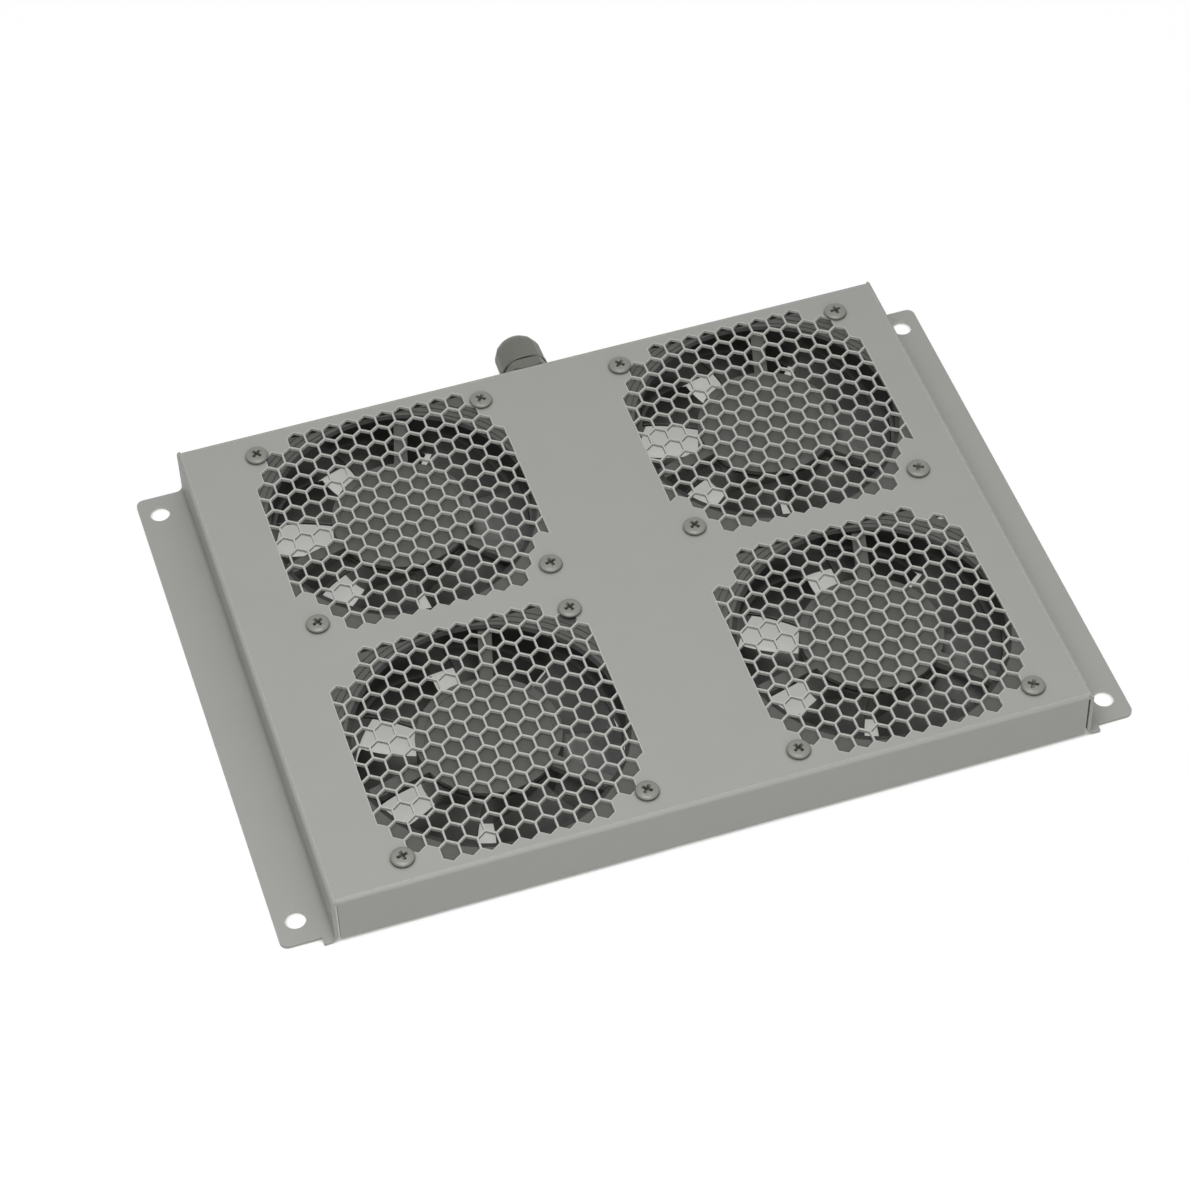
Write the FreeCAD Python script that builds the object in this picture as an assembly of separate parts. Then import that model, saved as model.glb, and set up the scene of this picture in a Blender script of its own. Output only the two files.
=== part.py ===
import FreeCAD, Part
import math
import os
from collections import namedtuple

# Rack fan tray: four 120 mm axial fans under one folded sheet with honeycomb grilles and a cable gland.
# Millimetres, +Z up. The origin is the middle of the four mounting holes, on the underside of the
# side flanges. +X is to the right and +Y to the back, where the gland is.

V = FreeCAD.Vector

# Fan size, and the spaces round the four fans that set the tray's width and depth
FAN = 120.0
FAN_T = 25.0
LUG_INSET = 7.6
FRONT_SPACE = 5.0
ROW_SPACE = 12.0
BACK_SPACE = 7.0
LEFT_SPACE = 26.0
COLUMN_SPACE = 51.0
RIGHT_SPACE = 15.0

# Folded sheet
SHEET = 1.5
BEND_IN = 0.8
SKIRT_LIFT = 1.0
SKIRT_GAP = 0.1
SKIRT_CORNER_R = 3.5
FLANGE_HOLE_OUT = 13.0
FLANGE_EDGE = 9.0
FLANGE_SETBACK = 3.5
FLANGE_CORNER_R = 5.0
HOLE_FROM_BACK = 10.5
HOLE_FROM_FRONT = 12.0
HOLE_D = 9.0

# Honeycomb grille, with its pitches across the row and from row to row
CELL_X = 16.2
CELL_Y = 16.8
WEB = 1.1
GRILLE_OVER_Y = 4.2
GRILLE_OVER_CORNER = 10.0
LEAST_CELL = 4.0

# Sides of what is round and shown in flats: bores, discs, and small parts
BORE_SIDES = 60
DISC_SIDES = 36
ROTOR_SIDES = 24
SMALL_SIDES = 12

# Fan housing
HOUSING_CORNER_R = 5.0
BORE_WALL = 2.5
FLARE = 1.8
FLARE_T = 3.0
LUG_T = 4.0
POCKET = 11.0
BASE_R = 31.0
BASE_T = 2.5
BASE_RECESS = 1.0
STRUT_W = 6.0
STRUT_T = 3.5
STRUT_ANGLES = (75.0, 195.0, 315.0)

# Motor
SHAFT_R = 1.5
RUNNING_GAP = 0.1
SLEEVE_WALL = 1.5
TUBE_WALL = 1.4
TUBE_L = 14.0
COLLAR_R = 2.5
COLLAR_T = 0.6
COLLAR_PLAY = 0.2
CORE_T = 8.0
CORE_DROP = 4.0
POLES = 4
YOKE_WALL = 4.5
NECK_W = 7.0
SHOE_T = 4.0
COIL_W = 2.6
COIL_GAP = 0.4
AIR_GAP = 0.8
MAGNET_WALL = 3.2
MAGNET_DROP = 0.8

# Impeller
BLADES = 7
HUB_WALL = 2.0
HUB_CAP = 2.0
HUB_LIFT = 1.5
STRUT_GAP = 1.2
BOSS_WALL = 2.5
BOSS_T = 3.0
TIP_GAP = 1.0
BLADE_INSET = 0.5
BLADE_SINK = 1.0
BLADE_T = 1.6
BLADE_CAMBER = 2.2
BLADE_ROOT_PITCH = 31.0
BLADE_TIP_PITCH = 18.0
BLADE_STEPS = 4

# Terminal holder on the side of each fan that faces the middle of the tray, and its two tabs
HOLDER_OUT = 4.0
HOLDER_W = 12.0
HOLDER_T = 8.0
HOLDER_SIDE = 36.0
HOLDER_Z = 9.0
TAB_OUT = 6.5
TAB_W = 2.8
TAB_T = 0.8
TAB_PITCH = 5.5

# Fan screws, M4, with their heads on the plate and their nuts in the housing's corner pockets
SCREW_SIDES = 8
SCREW_D = 4.0
SCREW_HOLE_D = 4.5
SCREW_HEAD_D = 9.4
SCREW_HEAD_T = 2.4
SCREW_CROWN_D = 5.4
SCREW_TIP = 1.5
NUT_AF = 7.0
NUT_T = 3.2

# Cable gland, M16
THREAD_R = 8.0
GLAND_HOLE_GAP = 0.15
GLAND_BORE_R = 5.6
GLAND_AF = 22.0
WASHER_R = 10.5
WASHER_T = 1.5
COLLAR_HEX_T = 6.0
THREAD_SPARE = 1.5
LOCKNUT_T = 4.0
LOCKNUT_HEADROOM = 0.75
STUB_R = 9.0
STUB_T = 8.0
DOME_OVER = 0.6
DOME_GAP = 1.0
DOME_T = 14.0
DOME_TAPER = 5.6
DOME_END_T = 3.5
DOME_WALL_T = 3.0
MOUTH_R = 5.0
SEAL_GAP = 0.3
SEAL_BORE_R = 4.0

# Worked out from the sizes above
BEND = BEND_IN + SHEET
TRAY_W = LEFT_SPACE + FAN + COLUMN_SPACE + FAN + RIGHT_SPACE
TRAY_D = FRONT_SPACE + FAN + ROW_SPACE + FAN + BACK_SPACE
TRAY_H = SHEET + FAN_T
HOLE_X = TRAY_W / 2 + FLANGE_HOLE_OUT
HOLE_Y = (TRAY_D - FLANGE_SETBACK - HOLE_FROM_FRONT - HOLE_FROM_BACK) / 2
BACK_Y = HOLE_Y + HOLE_FROM_BACK
FRONT_Y = BACK_Y - TRAY_D
LEFT_X = -TRAY_W / 2 + LEFT_SPACE + FAN / 2
RIGHT_X = TRAY_W / 2 - RIGHT_SPACE - FAN / 2
ROW_FRONT_Y = FRONT_Y + FRONT_SPACE + FAN / 2
ROW_BACK_Y = BACK_Y - BACK_SPACE - FAN / 2
LUG = FAN / 2 - LUG_INSET
BORE_R = FAN / 2 - BORE_WALL
GRILLE_X = BORE_R
GRILLE_Y = BORE_R + GRILLE_OVER_Y
GRILLE_CORNER_R = BORE_R + GRILLE_OVER_CORNER
BASE_Z = FAN_T - BASE_RECESS - BASE_T
STRUT_Z = FAN_T - BASE_RECESS - STRUT_T
TUBE_Z = BASE_Z - TUBE_L
SLEEVE_R = SHAFT_R + RUNNING_GAP + SLEEVE_WALL
SLEEVE_TOP = BASE_Z - 3 * COLLAR_T - COLLAR_PLAY
TUBE_R = SLEEVE_R + TUBE_WALL
HUB_IN = BASE_R - HUB_WALL
HUB_FLOOR = HUB_LIFT + HUB_CAP
HUB_TOP = STRUT_Z - STRUT_GAP
CORE_R = HUB_IN - MAGNET_WALL - AIR_GAP
CORE_Z = BASE_Z - CORE_DROP - CORE_T
GLAND_Z = TRAY_H - SHEET - LOCKNUT_HEADROOM - GLAND_AF / 2
DOME_D = GLAND_AF + DOME_OVER
DOME_END_D = DOME_D - DOME_TAPER
STUB_Y = WASHER_T + COLLAR_HEX_T
DOME_Y = STUB_Y + DOME_GAP
DOME_END_Y = DOME_Y + DOME_T + DOME_END_T
SEAL_END_Y = DOME_END_Y - DOME_WALL_T

# The corners of a fan, and for each fan its axis, the side of its terminals, the corners that have a
# screw, the row that starts its grille's stagger and the turn of its impeller at rest
BACK_LEFT, BACK_RIGHT, FRONT_RIGHT, FRONT_LEFT = (-1, 1), (1, 1), (1, -1), (-1, -1)
CORNERS = (BACK_LEFT, BACK_RIGHT, FRONT_RIGHT, FRONT_LEFT)
Fan = namedtuple("Fan", "x y terminal_side screws first_row turn")
FANS = {
    "back_left": Fan(LEFT_X, ROW_BACK_Y, 1, CORNERS, 0, 35.5),
    "back_right": Fan(RIGHT_X, ROW_BACK_Y, -1, CORNERS, 0, 31.0),
    "front_left": Fan(LEFT_X, ROW_FRONT_Y, 1, (BACK_RIGHT, FRONT_RIGHT, FRONT_LEFT), 1, 20.0),
    "front_right": Fan(RIGHT_X, ROW_FRONT_Y, -1, (FRONT_RIGHT, FRONT_LEFT), 1, 18.5),
}


def box(x0, y0, z0, x1, y1, z1):
    """A block between two opposite corners."""
    return Part.makeBox(x1 - x0, y1 - y0, z1 - z0, V(x0, y0, z0))


def rod(r, z0, z1, x=0.0, y=0.0):
    """An upright round bar."""
    return Part.makeCylinder(r, z1 - z0, V(x, y, z0))


def line(a, b):
    """A straight edge."""
    return Part.LineSegment(a, b).toShape()


def quarter(middle, start, end):
    """A quarter of a circle about middle, between two radii given as vectors."""
    return Part.Arc(middle + start, middle + (start + end) * math.sqrt(0.5), middle + end).toShape()


def polygon(points, z):
    """A flat closed wire through (x, y) points at height z."""
    corners = [V(x, y, z) for x, y in points]
    return Part.makePolygon(corners + corners[:1])


def regular(sides, flats):
    """The corners of a regular polygon with a flat on each axis, from its size across the flats."""
    r = flats / 2 / math.cos(math.pi / sides)
    angles = [math.pi / 2 + 2 * math.pi * (i + 0.5) / sides for i in range(sides)]
    return [(r * math.cos(a), r * math.sin(a)) for a in angles]


def prism(points, z0, z1):
    """An upright solid over a polygon."""
    return Part.Face(polygon(points, z0)).extrude(V(0, 0, z1 - z0))


def bar(sides, r, z0, z1):
    """An upright bar in flats, with the distance r from its axis to each."""
    return prism(regular(sides, 2 * r), z0, z1)


def pipe(sides, r_in, r_out, z0, z1):
    """An upright pipe in flats."""
    return bar(sides, r_out, z0, z1).cut(bar(sides, r_in, z0, z1))


def facets(a, b, c, d):
    """Two triangles across four corners."""
    return [Part.Face(Part.makePolygon([a, b, c, a])), Part.Face(Part.makePolygon([a, c, d, a]))]


def skinned(low, high):
    """A solid in flat facets between two outlines of as many points, each closed by a strip across it."""
    n = len(low)
    faces = []
    for i in range(n):
        j = (i + 1) % n
        faces += facets(low[i], low[j], high[j], high[i])
    for outline in (low, high):
        for i in range(n // 2 - 1):
            faces += facets(outline[i], outline[i + 1], outline[n - 2 - i], outline[n - 1 - i])
    return Part.makeSolid(Part.makeShell(faces))


def taper(sides, low, high, z0, z1):
    """An upright solid that narrows from one regular polygon to another, given by their flats."""
    ends = [[V(x, y, z) for x, y in regular(sides, flats)] for flats, z in ((low, z0), (high, z1))]
    return skinned(*ends).removeSplitter()


def placed(shape, x, y, z=0.0):
    """A copy of a shape, moved."""
    copy = shape.copy()
    copy.translate(V(x, y, z))
    return copy


def turned(shape, angle):
    """A copy of a shape, turned about the upright axis."""
    copy = shape.copy()
    copy.rotate(V(0, 0, 0), V(0, 0, 1), angle)
    return copy


def lying(shape):
    """A shape built along +Z from the tray's back face, laid along +Y at the gland's place."""
    copy = shape.copy()
    copy.rotate(V(0, 0, 0), V(1, 0, 0), -90)
    copy.translate(V(0, BACK_Y, GLAND_Z))
    return copy


def cell():
    """The six corners of one honeycomb hole about its own middle."""
    slope = (CELL_Y / 3) / (CELL_X / 2)
    x = CELL_X / 2 - WEB / 2
    top = 2 * CELL_Y / 3 - WEB / 2 * math.hypot(1, slope)
    side = top - x * slope
    return [(0, top), (-x, side), (-x, -side), (0, -top), (x, -side), (x, side)]


def clipped(points, side):
    """A polygon cut by the grille's straight right side (1) or left side (-1)."""
    kept = []
    for (ax, ay), (bx, by) in zip(points, points[1:] + points[:1]):
        a = GRILLE_X - side * ax
        b = GRILLE_X - side * bx
        if a >= 0:
            kept.append((ax, ay))
        if a * b < 0:
            kept.append((ax + a / (a - b) * (bx - ax), ay + a / (a - b) * (by - ay)))
    return kept


def grille_cells(first_row):
    """The holes of one grille about its fan's axis: straight sides, cut corners and a zigzag front and back."""
    rows = int((2 * GRILLE_Y - CELL_Y / 3) / CELL_Y)
    columns = int(GRILLE_X / CELL_X) + 1
    cells = []
    for row in range(rows):
        y = ((rows - 1) / 2 - row) * CELL_Y
        for column in range(-columns, columns + 1):
            x = (column + 0.5 * ((row + first_row) % 2)) * CELL_X
            reach = min(abs(x) + CELL_X / 4, GRILLE_X)
            if math.hypot(reach, abs(y) + CELL_Y / 3) > GRILLE_CORNER_R:
                continue
            if GRILLE_X - (abs(x) - CELL_X / 2) < LEAST_CELL:
                continue
            outline = [(x + px, y + py) for px, py in cell()]
            cells.append(clipped(clipped(outline, 1), -1))
    return cells


def screw_places(fan):
    """The (x, y) of each screw of one fan."""
    return [(fan.x + sx * LUG, fan.y + sy * LUG) for sx, sy in fan.screws]


def top_plate():
    """The flat of the folded sheet, with four honeycomb grilles and the holes of the fan screws."""
    x = TRAY_W / 2 - BEND
    z = TRAY_H - SHEET
    outline = [(-x, FRONT_Y + BEND), (x, FRONT_Y + BEND), (x, BACK_Y - BEND), (-x, BACK_Y - BEND)]
    wires = [polygon(outline, z)]
    for fan in FANS.values():
        for hole in grille_cells(fan.first_row):
            wires.append(polygon([(fan.x + px, fan.y + py) for px, py in hole], z))
        for sx, sy in screw_places(fan):
            wires.append(polygon([(sx + px, sy + py) for px, py in regular(SCREW_SIDES, SCREW_HOLE_D)], z))
    return Part.Face(wires, "Part::FaceMakerBullseye").extrude(V(0, 0, SHEET))


def rail_profile(outer):
    """The right side rail in the XZ plane: top bend, wall, lower bend and flange."""
    wall = TRAY_W / 2
    high = V(wall - BEND, 0, TRAY_H - BEND)
    low = V(wall + BEND_IN, 0, BEND)
    x = V(1, 0, 0)
    z = V(0, 0, 1)
    return Part.Wire([
        line(high + z * BEND_IN, high + z * BEND),
        quarter(high, z * BEND, x * BEND),
        line(high + x * BEND, low - x * BEND_IN),
        quarter(low, x * -BEND_IN, z * -BEND_IN),
        line(low - z * BEND_IN, V(outer, 0, SHEET)),
        line(V(outer, 0, SHEET), V(outer, 0, 0)),
        line(V(outer, 0, 0), low - z * BEND),
        quarter(low, z * -BEND, x * -BEND),
        line(low - x * BEND, high + x * BEND_IN),
        quarter(high, x * BEND_IN, z * BEND_IN),
    ])


def side_rail():
    """The right side of the folded sheet, over the whole depth, with two mounting holes in its flange."""
    inner = TRAY_W / 2 + BEND_IN
    outer = HOLE_X + FLANGE_EDGE
    rail = Part.Face(rail_profile(outer)).extrude(V(0, TRAY_D, 0))
    rail.translate(V(0, FRONT_Y, 0))
    rail = rail.cut(box(inner, FRONT_Y, 0, outer, FRONT_Y + FLANGE_SETBACK, SHEET))
    corners = [e for e in rail.Edges if e.BoundBox.XMin > outer - 0.01 and e.BoundBox.YLength < 0.01]
    rail = rail.makeFillet(FLANGE_CORNER_R, corners)
    for y in (HOLE_Y, -HOLE_Y):
        rail = rail.cut(rod(HOLE_D / 2, 0, SHEET, HOLE_X, y))
    return rail


def front_skirt():
    """The front of the folded sheet between the rails: a bend, and a wider wall with rounded lower corners."""
    x = TRAY_W / 2 - BEND
    wall = TRAY_W / 2 - SHEET - SKIRT_GAP
    middle = V(-x, FRONT_Y + BEND, TRAY_H - BEND)
    y = V(0, 1, 0)
    z = V(0, 0, 1)
    foot = V(-x, FRONT_Y, SKIRT_LIFT)
    profile = Part.Wire([
        line(foot, middle - y * BEND),
        quarter(middle, y * -BEND, z * BEND),
        line(middle + z * BEND, middle + z * BEND_IN),
        quarter(middle, z * BEND_IN, y * -BEND_IN),
        line(middle - y * BEND_IN, foot + y * SHEET),
        line(foot + y * SHEET, foot),
    ])
    skirt = Part.Face(profile).extrude(V(2 * x, 0, 0))
    skirt = skirt.fuse(box(-wall, FRONT_Y, SKIRT_LIFT, wall, FRONT_Y + SHEET, TRAY_H - BEND)).removeSplitter()
    corners = [e for e in skirt.Edges if e.BoundBox.ZMax < SKIRT_LIFT + 0.01 and e.BoundBox.XLength < 0.01]
    return skirt.makeFillet(SKIRT_CORNER_R, corners)


def back_skirt():
    """The back of the folded sheet, with the hole of the cable gland."""
    skirt = front_skirt().mirror(V(0, (FRONT_Y + BACK_Y) / 2, 0), V(0, 1, 0))
    return skirt.cut(lying(rod(THREAD_R + GLAND_HOLE_GAP, -SHEET, 0)))


def housing():
    """A die-cast fan frame: a square block with a flared bore and corner lugs, three struts and a motor base."""
    half = FAN / 2
    body = box(-half, -half, 0, half, half, FAN_T)
    body = body.makeFillet(HOUSING_CORNER_R, [e for e in body.Edges if e.BoundBox.ZLength > FAN_T / 2])
    flare = taper(BORE_SIDES, 2 * (BORE_R + FLARE), 2 * BORE_R, 0, FLARE_T)
    body = body.cut(bar(BORE_SIDES, BORE_R, 0, FAN_T)).cut(flare)
    near = LUG - POCKET / 2
    pocket = box(near, near, LUG_T, FAN, FAN, FAN_T - LUG_T)
    hole = bar(SCREW_SIDES, SCREW_HOLE_D / 2, 0, FAN_T)
    for i in range(4):
        body = body.cut(turned(pocket.fuse(placed(hole, LUG, LUG)), 90 * i))
    base = bar(DISC_SIDES, BASE_R, BASE_Z, BASE_Z + BASE_T)
    strut = box(BASE_R - STRUT_W, -STRUT_W / 2, STRUT_Z, BORE_R + BORE_WALL / 2, STRUT_W / 2, STRUT_Z + STRUT_T)
    for angle in STRUT_ANGLES:
        base = base.fuse(turned(strut, angle))
    base = base.fuse(pipe(SMALL_SIDES, SLEEVE_R, TUBE_R, TUBE_Z, BASE_Z))
    return body.fuse(base).removeSplitter()


def sleeve_bearing():
    """The plain bearing pressed into the housing's tube."""
    return pipe(SMALL_SIDES, SHAFT_R + RUNNING_GAP, SLEEVE_R, TUBE_Z, SLEEVE_TOP)


def shaft():
    """The impeller's shaft, with a retaining collar above the bearing."""
    collar_z = SLEEVE_TOP + COLLAR_PLAY
    spindle = bar(SMALL_SIDES, SHAFT_R, HUB_FLOOR - HUB_CAP / 2, collar_z + 2 * COLLAR_T)
    return spindle.fuse(bar(SMALL_SIDES, COLLAR_R, collar_z, collar_z + COLLAR_T))


def stator_core():
    """The laminated core on the housing's tube: a square yoke, and four necks with flat shoes."""
    top = CORE_Z + CORE_T
    yoke = TUBE_R + YOKE_WALL
    end = CORE_R * math.cos(math.pi / 2 / POLES)
    shoe = CORE_R * math.sin(math.pi / 2 / POLES)
    arm = box(0, -NECK_W / 2, CORE_Z, end - SHOE_T / 2, NECK_W / 2, top)
    arm = arm.fuse(box(end - SHOE_T, -shoe, CORE_Z, end, shoe, top))
    core = box(-yoke, -yoke, CORE_Z, yoke, yoke, top)
    for i in range(POLES):
        core = core.fuse(turned(arm, i * 360 / POLES))
    return core.cut(bar(SMALL_SIDES, TUBE_R, CORE_Z, top)).removeSplitter()


def coils():
    """Four windings, each round one neck of the core."""
    start = TUBE_R + YOKE_WALL + COIL_GAP
    end = CORE_R * math.cos(math.pi / 2 / POLES) - SHOE_T - COIL_GAP
    side = NECK_W / 2
    winding = box(start, -side - COIL_W, CORE_Z - COIL_W, end, side + COIL_W, CORE_Z + CORE_T + COIL_W)
    winding = winding.cut(box(start, -side, CORE_Z, end, side, CORE_Z + CORE_T))
    return Part.makeCompound([turned(winding, i * 360 / POLES) for i in range(POLES)])


def magnet_ring():
    """The rotor's ring magnet, pressed into the hub."""
    top = HUB_TOP - MAGNET_DROP
    return pipe(ROTOR_SIDES, HUB_IN - MAGNET_WALL, HUB_IN, HUB_FLOOR, top)


def blade_outline(r, pitch):
    """Points round the section of a cambered blade, all at the distance r from the axis."""
    half = BLADE_T / 2 / math.cos(math.radians(pitch))
    low = HUB_LIFT + BLADE_INSET + half
    height = HUB_TOP - BLADE_INSET - half - low
    sweep = height / math.tan(math.radians(pitch)) / r
    upper = []
    lower = []
    for i in range(BLADE_STEPS + 1):
        s = i / BLADE_STEPS
        angle = (s - 0.5) * sweep
        z = low + s * height + BLADE_CAMBER * math.sin(math.pi * s)
        upper.append(V(r * math.cos(angle), r * math.sin(angle), z + half))
        lower.append(V(r * math.cos(angle), r * math.sin(angle), z - half))
    return upper + lower[::-1]


def impeller(turn):
    """The hub, a cup that is open towards the motor base, with twisted blades that end just inside the bore."""
    hub = bar(DISC_SIDES, BASE_R, HUB_LIFT, HUB_TOP).cut(bar(ROTOR_SIDES, HUB_IN, HUB_FLOOR, HUB_TOP))
    hub = hub.fuse(bar(SMALL_SIDES, SHAFT_R + BOSS_WALL, HUB_FLOOR, HUB_FLOOR + BOSS_T))
    hub = hub.cut(bar(SMALL_SIDES, SHAFT_R, HUB_FLOOR - HUB_CAP / 2, HUB_FLOOR + BOSS_T))
    root = blade_outline(BASE_R - BLADE_SINK, BLADE_ROOT_PITCH)
    tip = blade_outline(BORE_R - TIP_GAP, BLADE_TIP_PITCH)
    blade = skinned(root, tip)
    for i in range(BLADES):
        hub = hub.fuse(turned(blade, turn + i * 360 / BLADES))
    return hub


def terminal_holder(side):
    """The moulded block that carries the terminals, on the fan's right (1) or left (-1) side."""
    x = sorted((side * FAN / 2, side * (FAN / 2 + HOLDER_OUT)))
    y = HOLDER_SIDE - HOLDER_W / 2
    return box(x[0], y, HOLDER_Z, x[1], y + HOLDER_W, HOLDER_Z + HOLDER_T)


def terminal_tabs(side):
    """Two spade tabs that stand out of the terminal holder."""
    root = FAN / 2 + HOLDER_OUT
    x = sorted((side * root, side * (root + TAB_OUT)))
    z = HOLDER_Z + HOLDER_T / 2 - TAB_W / 2
    tabs = []
    for offset in (-TAB_PITCH / 2, TAB_PITCH / 2):
        y = HOLDER_SIDE + offset - TAB_T / 2
        tabs.append(box(x[0], y, z, x[1], y + TAB_T, z + TAB_W))
    return Part.makeCompound(tabs)


def screw():
    """A fan screw: a crowned head on the plate, and a shank down through the plate, lug and nut."""
    head = taper(SCREW_SIDES, SCREW_HEAD_D, SCREW_CROWN_D, TRAY_H, TRAY_H + SCREW_HEAD_T)
    end = FAN_T - LUG_T - NUT_T - SCREW_TIP
    return head.fuse(bar(SCREW_SIDES, SCREW_D / 2, end, TRAY_H))


def nut():
    """The hexagon nut under a housing's lug."""
    top = FAN_T - LUG_T
    body = bar(6, NUT_AF / 2, top - NUT_T, top)
    return body.cut(bar(SCREW_SIDES, SCREW_D / 2, top - NUT_T, top))


def at_screws(fan, shape):
    """The shape once at each screw of one fan, as separate solids."""
    return Part.makeCompound([placed(shape, x, y) for x, y in screw_places(fan)])


def gland_body():
    """The gland's body: a thread through the back skirt, a hexagon collar and a stub for the dome nut."""
    inside = -SHEET - LOCKNUT_T - THREAD_SPARE
    body = bar(ROTOR_SIDES, THREAD_R, inside, WASHER_T)
    body = body.fuse(bar(6, GLAND_AF / 2, WASHER_T, STUB_Y))
    body = body.fuse(bar(ROTOR_SIDES, STUB_R, STUB_Y, STUB_Y + STUB_T))
    return lying(body.cut(bar(ROTOR_SIDES, GLAND_BORE_R, inside, STUB_Y + STUB_T)))


def gland_washer():
    """The sealing washer between the collar and the back skirt."""
    return lying(pipe(ROTOR_SIDES, THREAD_R, WASHER_R, 0, WASHER_T))


def gland_locknut():
    """The hexagon nut that holds the gland from inside the tray."""
    nut_body = bar(6, GLAND_AF / 2, -SHEET - LOCKNUT_T, -SHEET)
    return lying(nut_body.cut(bar(ROTOR_SIDES, THREAD_R, -SHEET - LOCKNUT_T, -SHEET)))


def gland_dome_nut():
    """The twelve-sided nut with a tapered end that squeezes the seal onto a cable."""
    shoulder = DOME_Y + DOME_T
    body = bar(SMALL_SIDES, DOME_D / 2, DOME_Y, shoulder)
    body = body.fuse(taper(SMALL_SIDES, DOME_D, DOME_END_D, shoulder, DOME_END_Y))
    body = body.cut(bar(ROTOR_SIDES, STUB_R, DOME_Y, SEAL_END_Y))
    return lying(body.cut(bar(ROTOR_SIDES, MOUTH_R, SEAL_END_Y, DOME_END_Y)))


def gland_seal():
    """The rubber insert between the stub and the end of the dome nut."""
    start = STUB_Y + STUB_T
    insert = bar(ROTOR_SIDES, STUB_R - SEAL_GAP, start, SEAL_END_Y)
    return lying(insert.cut(rod(SEAL_BORE_R, start, SEAL_END_Y)))


def sheet_pieces():
    """The folded sheet, divided at its bends."""
    rail = side_rail()
    return {
        "top_plate": top_plate(),
        "side_rail_right": rail,
        "side_rail_left": rail.mirror(V(0, 0, 0), V(1, 0, 0)),
        "front_skirt": front_skirt(),
        "back_skirt": back_skirt(),
    }


def fan_pieces(name, fan):
    """The pieces of one fan and its fixings, at the fan's place in the tray."""
    own = {
        "fan_housing": housing(),
        "sleeve_bearing": sleeve_bearing(),
        "stator_core": stator_core(),
        "stator_coils": coils(),
        "impeller": impeller(fan.turn),
        "magnet_ring": magnet_ring(),
        "shaft": shaft(),
        "terminal_holder": terminal_holder(fan.terminal_side),
        "terminal_tabs": terminal_tabs(fan.terminal_side),
    }
    pieces = {f"{piece}_{name}": placed(shape, fan.x, fan.y) for piece, shape in own.items()}
    pieces[f"fan_screws_{name}"] = at_screws(fan, screw())
    pieces[f"fan_nuts_{name}"] = at_screws(fan, nut())
    return pieces


def gland_pieces():
    """The cable gland in the back skirt."""
    return {
        "gland_body": gland_body(),
        "gland_washer": gland_washer(),
        "gland_locknut": gland_locknut(),
        "gland_dome_nut": gland_dome_nut(),
        "gland_seal": gland_seal(),
    }


def main():
    os.makedirs("parts", exist_ok=True)
    pieces = sheet_pieces()
    for name, fan in FANS.items():
        pieces.update(fan_pieces(name, fan))
    pieces.update(gland_pieces())
    for node, shape in pieces.items():
        shape.exportStep(f"parts/{node}.step")


main()
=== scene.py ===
import math

import bmesh
import bpy
from mathutils import Matrix, Vector

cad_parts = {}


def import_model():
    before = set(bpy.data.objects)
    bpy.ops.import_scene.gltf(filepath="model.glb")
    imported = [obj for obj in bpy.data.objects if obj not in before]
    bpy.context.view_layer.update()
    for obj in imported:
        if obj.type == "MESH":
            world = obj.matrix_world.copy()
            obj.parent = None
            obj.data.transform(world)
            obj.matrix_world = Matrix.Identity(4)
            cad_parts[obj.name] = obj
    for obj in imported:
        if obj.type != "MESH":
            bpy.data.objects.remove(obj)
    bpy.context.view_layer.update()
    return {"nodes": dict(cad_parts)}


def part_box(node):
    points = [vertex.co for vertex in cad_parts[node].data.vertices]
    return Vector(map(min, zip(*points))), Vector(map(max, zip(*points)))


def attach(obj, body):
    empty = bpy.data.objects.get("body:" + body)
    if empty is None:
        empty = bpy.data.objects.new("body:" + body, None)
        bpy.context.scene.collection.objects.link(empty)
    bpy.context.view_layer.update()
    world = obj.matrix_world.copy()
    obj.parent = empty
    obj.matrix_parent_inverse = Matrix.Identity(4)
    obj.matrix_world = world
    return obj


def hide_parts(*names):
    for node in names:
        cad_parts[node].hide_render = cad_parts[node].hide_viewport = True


# Rack fan tray: the looks of a powder-coated sheet with four fans under honeycomb grilles.
# Meshes are modelled in millimetres and brought to metres when they become pieces.

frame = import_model()

MM = 0.001
ROOT = "root"
FANS = ("back_left", "back_right", "front_left", "front_right")

# Honeycomb: pitch across a row and from row to row, web, chamfer of each hole, and the straight sides
PITCH_X = 8.25
PITCH_Y = 8.57
WEB = 0.9
HOLE_CHAMFER = 0.14
GRILLE_HALF = 57.5
ROW_SHIFT = 0.8
SIX_SIDED_WIDTH = math.sqrt(3)
SIX_SIDED_RISE = 1.5

# First and last cell of each row, in pitches from the fan's axis, from the back row to the front row
ROW_ENDS = {
    "back_left": ((-4, 5), (-5.5, 5.5), (-6, 6)) + ((-6.5, 6.5), (-7, 7)) * 4
    + ((-5.5, 5.5), (-5, 5), (-4.5, 4.5)),
    "back_right": ((-4, 4), (-5.5, 5.5), (-6, 6)) + ((-6.5, 6.5), (-7, 7)) * 4
    + ((-5.5, 5.5), (-5, 5), (-4.5, 4.5)),
    "front_left": ((-4.5, 4.5), (-5, 6), (-6.5, 6.5)) + ((-7, 7), (-6.5, 6.5)) * 4
    + ((-6, 6), (-5.5, 5.5), (-4, 4)),
    "front_right": ((-4.5, 4.5), (-5, 6), (-6.5, 6.5)) + ((-7, 7), (-6.5, 6.5)) * 4
    + ((-6, 6), (-5.5, 5.5), (-4, 4)),
}

# Angle in degrees from which an edge counts as sharp and is rounded, and steps of holes and threads
SHARP = 50
HOLE_STEPS = 48
THREAD_STEPS = 64

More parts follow.
